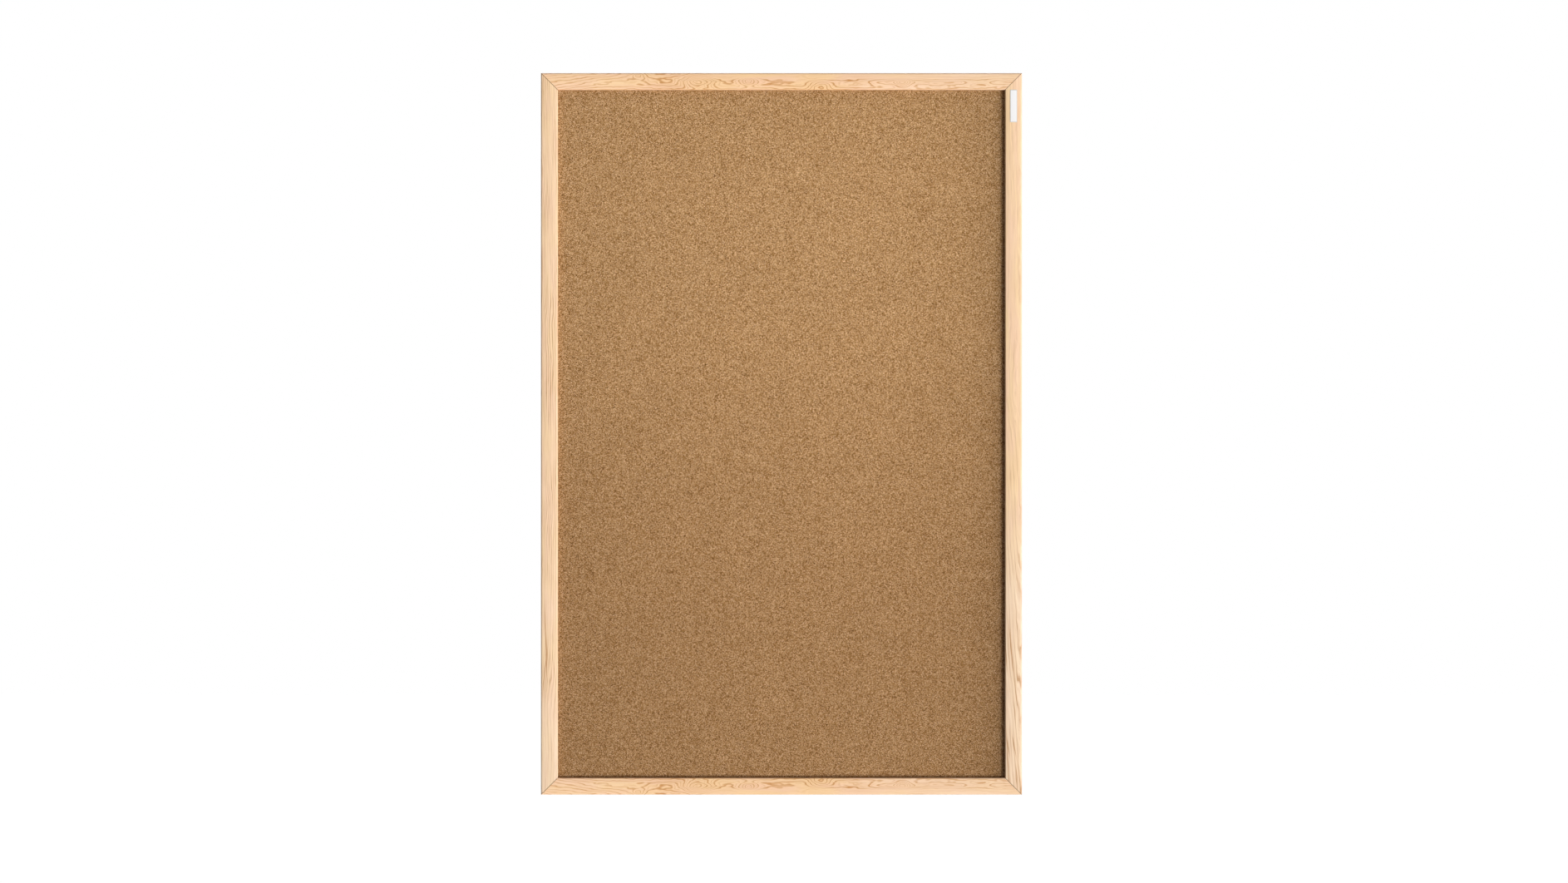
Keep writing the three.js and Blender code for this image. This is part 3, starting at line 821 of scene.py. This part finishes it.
label = {
    "columns": 8,
    "corner": 0.0006,
    "cornerSteps": 4,
    "edge": 0.00005,
    "shades": (linear(244, 243, 243), linear(249, 248, 247)),
    # painted shade: the grey of the line round the label's edge
    "lineTone": linear(176, 174, 170),
    "lineInset": 0.0003,
    "lineWidth": 0.0003,
    "fibreStretch": (1, 1, 0.4),
    "fibreScale": 2600,
    "shine": 0.35,
    "roughness": (0.38, 0.52),
    "relief": (0.15, 0.00003),
}


def paperSurface():  # blank, with a thin grey line near its edge: painted shade for the label's outline
    surface, tree, shader, place = newSurface("labelPaper", {"Specular IOR Level": label["shine"]})
    low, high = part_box("blank_label")
    axes = put(tree, "SeparateXYZ", {0: place}).outputs
    toSide = []
    for axis, index in (("X", 0), ("Z", 2)):
        middle = (low[index] + high[index]) / 2
        half = (high[index] - low[index]) / 2
        offset = calc(tree, "ABSOLUTE", calc(tree, "SUBTRACT", axes[axis], middle))
        toSide.append(calc(tree, "SUBTRACT", half, offset))
    inset = calc(tree, "MINIMUM", toSide[0], toSide[1])
    fromLine = calc(tree, "ABSOLUTE", calc(tree, "SUBTRACT", inset, label["lineInset"]))
    line = spread(tree, fromLine, 1, 0, label["lineWidth"] / 2, label["lineWidth"])
    fibrePlace = stretch(tree, place, label["fibreStretch"])
    fibre = softNoise(tree, fibrePlace, label["fibreScale"], detail=3.0).outputs[0]
    sheet = mixColors(tree, fibre, *label["shades"])
    join(tree, shader, {
        "Base Color": mixColors(tree, line, sheet, label["lineTone"]),
        "Roughness": spread(tree, fibre, *label["roughness"]),
        "Normal": relief(tree, fibre, *label["relief"]),
    })
    return surface


def labelMesh():  # it lies bent over the crown of the moulding
    low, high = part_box("blank_label")
    middle = (low + high) / 2
    bm = bmesh.new()
    bmesh.ops.create_grid(bm, x_segments=label["columns"], y_segments=1, size=0.5)
    bmesh.ops.scale(bm, verts=bm.verts, vec=(high.x - low.x, high.z - low.z, 1))
    corners = [vert for vert in bm.verts if len(vert.link_edges) == 2]
    bmesh.ops.bevel(bm, geom=corners, offset=label["corner"], segments=label["cornerSteps"],
                    profile=0.5, affect="VERTICES", material=-1)
    upright = Matrix.Translation((middle.x, low.y, middle.z)) @ Matrix.Rotation(math.pi / 2, 4, "X")
    bmesh.ops.transform(bm, verts=bm.verts, matrix=upright)
    back = movedVerts(bmesh.ops.extrude_face_region(bm, geom=bm.faces[:]))
    bmesh.ops.translate(bm, verts=back, vec=(0, frameFront - low.y, 0))
    for vert in bm.verts:
        away = 2 * (halfWidth - vert.co.x) / bar["faceWidth"] - 1
        vert.co.y += bar["crown"] * away * away
    return bm


labelPiece = shape(labelMesh(), "labelBlank", paperSurface())
softEdges(labelPiece, label["edge"], 1)
settle(labelPiece, "board", "blank_label")


# Hangers, drawn with the hinge along X at the origin, the ring towards Z and Y standing off the frame

hanger = {
    "stripWidth": 0.007,
    "stripThickness": 0.0007,
    "reach": 0.0225,
    "wrapRadius": 0.00155,
    "foldRadius": 0.00083,
    "wrapSteps": 20,
    "foldSteps": 6,
    "endSteps": 9,
    "endFlat": 0.00001,
    "screwPlaces": (0.008, 0.018),
    "screwRoom": 0.00001,
    "screwTurn": 0.7,  # how far each screw's cross is turned from the last
    "holeRadius": 0.0016,
    "holeDepth": 0.01,
    "holeSides": 24,
    "edge": 0.00012,
}

ring = {
    "wireRadius": 0.0009,
    "halfWidth": 0.0054,
    "cornerRadius": 0.0015,
    "cornerSteps": 7,
    "archSteps": 28,
    "height": 0.012,
    "sides": 20,
    "restDrop": 0.0008,  # how far its far end leans towards the frame
}

screw = {
    "shankRadius": 0.0014,
    "length": 0.012,
    "tip": 0.003,
    "headRadius": 0.00275,
    "rim": 0.0007,
    "dome": 0.0011,
    "domeSteps": 8,
    "turnSteps": 32,
    "recessSpan": 0.0031,
    "recessWidth": 0.0008,
    "recessDepth": 0.001,
    "recessTaper": 0.55,  # the floor's size against the top's
    "edge": 0.00008,
}


def lastEdges(turned):
    return [item for item in turned["geom_last"] if isinstance(item, bmesh.types.BMEdge)]


def turn(bm, edges, centre, axis, degrees, steps):
    verts = list({vert for edge in edges for vert in edge.verts})
    turned = bmesh.ops.spin(bm, geom=verts + list(edges), cent=centre, axis=axis,
                            angle=math.radians(degrees), steps=steps, use_merge=False)
    return lastEdges(turned)


def push(bm, edges, move):
    pushed = bmesh.ops.extrude_edge_only(bm, edges=edges)
    bmesh.ops.translate(bm, verts=movedVerts(pushed), vec=move)
    return [item for item in pushed["geom"] if isinstance(item, bmesh.types.BMEdge)
            and all(vert in movedVerts(pushed) for vert in item.verts)]


def strapMesh():
    bm = bmesh.new()
    half = hanger["stripWidth"] / 2
    wrap, fold, reach = hanger["wrapRadius"], hanger["foldRadius"], hanger["reach"]
    corners = [(-half, -wrap, -reach), (half, -wrap, -reach), (half, -wrap, 0), (-half, -wrap, 0)]
    leaf = [bm.verts.new(corner) for corner in corners]
    bm.faces.new(leaf)
    edges = [bm.edges.get((leaf[2], leaf[3]))]
    edges = turn(bm, edges, (0, 0, 0), (1, 0, 0), -270, hanger["wrapSteps"])
    edges = turn(bm, edges, (0, 0, -wrap - fold), (1, 0, 0), 90, hanger["foldSteps"])
    push(bm, edges, (0, 0, wrap + fold - reach))
    ends = [vert for vert in bm.verts if vert.co.z < touching - reach]
    bmesh.ops.bevel(bm, geom=ends, offset=half - hanger["endFlat"], segments=hanger["endSteps"],
                    profile=0.5, affect="VERTICES", material=-1)
    bmesh.ops.remove_doubles(bm, verts=bm.verts, dist=sameSpot)
    return bm


def ringMesh():
    bm = bmesh.new()
    corner = ring["cornerRadius"]
    straight = ring["halfWidth"] - corner
    arch = ring["height"] - ring["halfWidth"]
    steps = ring["cornerSteps"]
    bmesh.ops.create_circle(bm, segments=ring["sides"], radius=ring["wireRadius"])
    start = Matrix.Translation((-straight, 0, 0)) @ Matrix.Rotation(math.pi / 2, 4, "Y")
    bmesh.ops.transform(bm, verts=bm.verts, matrix=start)
    edges = push(bm, bm.edges[:], (2 * straight, 0, 0))
    edges = turn(bm, edges, (straight, 0, corner), (0, 1, 0), -90, steps)
    edges = push(bm, edges, (0, 0, arch - corner))
    edges = turn(bm, edges, (0, 0, arch), (0, 1, 0), -180, ring["archSteps"])
    edges = push(bm, edges, (0, 0, corner - arch))
    turn(bm, edges, (-straight, 0, corner), (0, 1, 0), -90, steps)
    bmesh.ops.remove_doubles(bm, verts=bm.verts, dist=touching)
    lean = math.asin(ring["restDrop"] / ring["height"])
    bmesh.ops.rotate(bm, verts=bm.verts, cent=(0, 0, 0), matrix=Matrix.Rotation(lean, 3, "X"))
    return bm


def screwMesh():
    bm = bmesh.new()
    shank, head, rim = screw["shankRadius"], screw["headRadius"], screw["rim"]
    top = bm.verts.new((head, rim, 0))
    bmesh.ops.spin(bm, geom=[top], cent=(0, rim, 0), axis=(0, 0, 1), angle=math.pi / 2,
                   steps=screw["domeSteps"], use_merge=False)
    squash = Matrix.Translation((0, rim, 0)) @ Matrix.Diagonal((1, screw["dome"] / head, 1, 1))
    bmesh.ops.transform(bm, verts=bm.verts, matrix=squash @ Matrix.Translation((0, -rim, 0)))
    below = [(head, 0), (shank, 0), (shank, screw["tip"] - screw["length"]), (0, -screw["length"])]
    before = top
    for x, y in below:
        vert = bm.verts.new((x, y, 0))
        bm.edges.new((before, vert))
        before = vert
    geometry = bm.verts[:] + bm.edges[:]
    bmesh.ops.spin(bm, geom=geometry, cent=(0, 0, 0), axis=(0, 1, 0), angle=2 * math.pi,
                   steps=screw["turnSteps"], use_merge=True)
    bmesh.ops.remove_doubles(bm, verts=bm.verts, dist=touching)
    return bm


def recessMesh(topLevel):  # the cross that the driver fits, narrower at its floor
    bm = bmesh.new()
    width, deep = screw["recessWidth"], screw["recessDepth"]
    bmesh.ops.create_cube(bm, size=1)
    bmesh.ops.scale(bm, verts=bm.verts, vec=(width, 2 * deep, width))
    bmesh.ops.translate(bm, verts=bm.verts, vec=(0, topLevel, 0))
    for face in [face for face in bm.faces if abs(face.normal.y) < 0.5]:
        away = face.normal * (screw["recessSpan"] - width) / 2
        arm = bmesh.ops.extrude_discrete_faces(bm, faces=[face])["faces"][0]
        bmesh.ops.translate(bm, verts=arm.verts[:], vec=away)
    floor = [vert for vert in bm.verts if vert.co.y < topLevel]
    bmesh.ops.scale(bm, verts=floor, vec=(screw["recessTaper"], 1, screw["recessTaper"]))
    return bm


def placed(bm, place):
    bmesh.ops.transform(bm, verts=bm.verts, matrix=place)
    return bm


hangers = ["portrait_left", "portrait_right", "landscape_top", "landscape_bottom"]
for name in hangers:
    hinge = Vector(joints[name + "_ring_swing"]["pos_m"])
    place = Matrix.Translation(hinge)
    if name.startswith("landscape"):
        place = place @ Matrix.Rotation(math.pi / 2, 4, "Y")

    strapPiece = shape(placed(strapMesh(), place), name + "Strap", zincSteel)
    thicken = strapPiece.modifiers.new("thickness", "SOLIDIFY")
    thicken.thickness = hanger["stripThickness"]
    thicken.offset = 0
    finishMesh(strapPiece)
    holes = []
    for distance in hanger["screwPlaces"]:
        hole = bmesh.new()
        radius = hanger["holeRadius"]
        bmesh.ops.create_cone(hole, cap_ends=True, segments=hanger["holeSides"], radius1=radius,
                              radius2=radius, depth=hanger["holeDepth"])
        through = Matrix.Translation((0, 0, -distance)) @ Matrix.Rotation(math.pi / 2, 4, "X")
        holes.append(placed(hole, place @ through))
    cutAway(strapPiece, holes)
    softEdges(strapPiece, hanger["edge"])
    evenNormals(strapPiece)
    settle(strapPiece, "board", name + "_hanger_strap")

    ringPiece = shape(placed(ringMesh(), place), name + "Ring", ringSteel, smoothAngle=60)
    settle(ringPiece, name + "_ring", name + "_hanger_ring")

    seat = hanger["stripThickness"] / 2 - hanger["foldRadius"] + hanger["screwRoom"]
    for number, distance in enumerate(hanger["screwPlaces"], 1):
        turned = Matrix.Rotation(hanger["screwTurn"] * number, 4, "Y")
        spot = place @ Matrix.Translation((0, seat, -distance)) @ turned
        pieceName = f"{name}Screw{number}"
        screwPiece = shape(placed(screwMesh(), spot), pieceName, zincSteel, smoothAngle=40)
        cutAway(screwPiece, [placed(recessMesh(screw["rim"] + screw["dome"]), spot)])
        softEdges(screwPiece, screw["edge"], angle=40)
        evenNormals(screwPiece)
        settle(screwPiece, "board", f"{name}_hanger_screw_{number}")
print("hangers done:", len(hangers))


# Bumpers at the back corners

bumper = {
    "sides": 40,
    "topRadius": 0.0012,
    "topSteps": 6,
    "footRadius": 0.0003,
    "footSteps": 2,
    "dimpleInset": 0.0026,
    "dimpleDepth": 0.0003,
}


def bumperMesh(low, high):
    bm = bmesh.new()
    radius = (high.x - low.x) / 2
    bmesh.ops.create_cone(bm, cap_ends=True, segments=bumper["sides"], radius1=radius,
                          radius2=radius, depth=high.y - low.y)
    facing = Matrix.Rotation(-math.pi / 2, 3, "X")
    bmesh.ops.rotate(bm, verts=bm.verts, cent=(0, 0, 0), matrix=facing)
    bmesh.ops.translate(bm, verts=bm.verts, vec=(low + high) / 2)
    rims = [
        (high.y, bumper["topRadius"], bumper["topSteps"]),
        (low.y, bumper["footRadius"], bumper["footSteps"]),
    ]
    for level, offset, segments in rims:
        rim = []
        for edge in bm.edges:
            if all(abs(vert.co.y - level) < sameSpot for vert in edge.verts):
                rim.append(edge)
        bmesh.ops.bevel(bm, geom=rim, offset=offset, segments=segments, profile=0.5,
                        affect="EDGES", material=-1)
    whole = [face for face in bm.faces if len(face.verts) == bumper["sides"]]
    cap = [face for face in whole if face.calc_center_median().y > high.y - touching]
    inset, deep = bumper["dimpleInset"], bumper["dimpleDepth"]
    bmesh.ops.inset_region(bm, faces=cap, thickness=inset - bumper["topRadius"])
    bmesh.ops.inset_region(bm, faces=cap, thickness=deep, depth=-deep)
    return bm


rubber = rubberSurface()
for node in [name for name in nodes if name.startswith("bumper_")]:
    low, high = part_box(node)
    corner = node.removeprefix("bumper_").title().replace("_", "")
    bumperPiece = shape(bumperMesh(low, high), "bumper" + corner, rubber, smoothAngle=50)
    settle(bumperPiece, "board", node)
print("bumpers done")


# Pieces whose solid already has the right shape: a finish, and soft edges on a merged mesh

edgeWidths = {"hardboard": 0.0003, "softboard": 0.0004, "nail": 0.00008, "tab": 0.0001}


def dress(node, surface, width):
    piece = nodes[node]
    piece.data.materials.clear()
    piece.data.materials.append(surface)
    weld = piece.modifiers.new("merge", "WELD")
    weld.merge_threshold = touching
    softEdges(piece, width)


dress("backing_board", hardboardSurface(), edgeWidths["hardboard"])
dress("softboard_core", softboardSurface(), edgeWidths["softboard"])
for node in nodes:
    if node.startswith("v_nail"):
        dress(node, tabSteel, edgeWidths["nail"])
    elif node.startswith("backing_tab"):
        dress(node, tabSteel, edgeWidths["tab"])
print("boards, nails and tabs dressed")


# Camera, lights and floor

camera = {
    "distance": 4.0,
    "pixel": 0.0010365,  # how wide a pixel of the whole picture is on the board's face
    "acrossPixels": 1886,
    "aimX": 0.0032,
    "aimZ": -0.0095,
    "sensor": 36,
    "farthest": 50,
}
cameraData = bpy.data.cameras.new("camera")
cameraData.sensor_width = camera["sensor"]
seenWidth = camera["pixel"] * camera["acrossPixels"]
cameraData.lens = camera["sensor"] * camera["distance"] / seenWidth
cameraData.clip_end = camera["farthest"]
cameraPiece = bpy.data.objects.new("camera", cameraData)
cameraPiece.location = (camera["aimX"], frameFront - camera["distance"], camera["aimZ"])
cameraPiece.rotation_euler = (math.pi / 2, 0, 0)
bpy.context.scene.collection.objects.link(cameraPiece)
bpy.context.scene.camera = cameraPiece

suns = [  # name, the way to the light, strength, width in degrees
    ("keyLight", (0.64, -0.69, -0.35), 3.05, 28),
    ("wideLight", (0.87, -0.42, -0.27), 1.6, 70),
    ("backLight", (-0.35, 0.75, 0.55), 2.4, 60),
]
for name, toward, strength, width in suns:
    sun = bpy.data.lights.new(name, "SUN")
    sun.energy = strength
    sun.angle = math.radians(width)
    sunPiece = bpy.data.objects.new(name, sun)
    sunPiece.rotation_euler = Vector(toward).to_track_quat("Z", "Y").to_euler()
    bpy.context.scene.collection.objects.link(sunPiece)


def rayShare(tree):  # 1 for rays from the camera and for those that metal and glass send on
    rays = put(tree, "LightPath", {}).outputs
    seen = calc(tree, "MAXIMUM", rays["Is Camera Ray"], rays["Is Glossy Ray"])
    return calc(tree, "MAXIMUM", seen, rays["Is Transmission Ray"])


studio = {"color": (1, 1, 1, 1), "lights": 0.14, "seen": 1.0}  # how bright it shines and looks
world = bpy.data.worlds.new("studio")
world.use_nodes = True
worldTree = world.node_tree
background = worldTree.nodes["Background"]
background.inputs["Color"].default_value = studio["color"]
worldStrength = spread(worldTree, rayShare(worldTree), studio["lights"], studio["seen"])
worldTree.links.new(worldStrength, background.inputs["Strength"])
bpy.context.scene.world = world

floorPlan = {"half": 6.0, "level": -0.80, "glow": 0.72, "color": (0.5, 0.5, 0.5, 1)}
bm = bmesh.new()
bmesh.ops.create_grid(bm, x_segments=1, y_segments=1, size=floorPlan["half"])
bmesh.ops.translate(bm, verts=bm.verts, vec=(0, 0, floorPlan["level"]))
floorMesh = bpy.data.meshes.new("floor")
bm.to_mesh(floorMesh)
bm.free()
floorPiece = bpy.data.objects.new("floor", floorMesh)
floorSurface = bpy.data.materials.new("floorPaper")
floorSurface.use_nodes = True
floorTree = floorSurface.node_tree
floorTree.nodes.remove(floorTree.nodes["Principled BSDF"])
floorGlow = spread(floorTree, rayShare(floorTree), 0.0, floorPlan["glow"])
glow = put(floorTree, "Emission", {"Strength": floorGlow})
matte = put(floorTree, "BsdfDiffuse", {"Color": floorPlan["color"]})
both = put(floorTree, "AddShader", {0: glow.outputs[0], 1: matte.outputs[0]})
floorTree.links.new(both.outputs[0], floorTree.nodes["Material Output"].inputs["Surface"])
floorMesh.materials.append(floorSurface)
floorPiece.visible_shadow = False
bpy.context.scene.collection.objects.link(floorPiece)
bpy.context.scene.view_settings.view_transform = "Standard"
print("camera, lights and floor set")
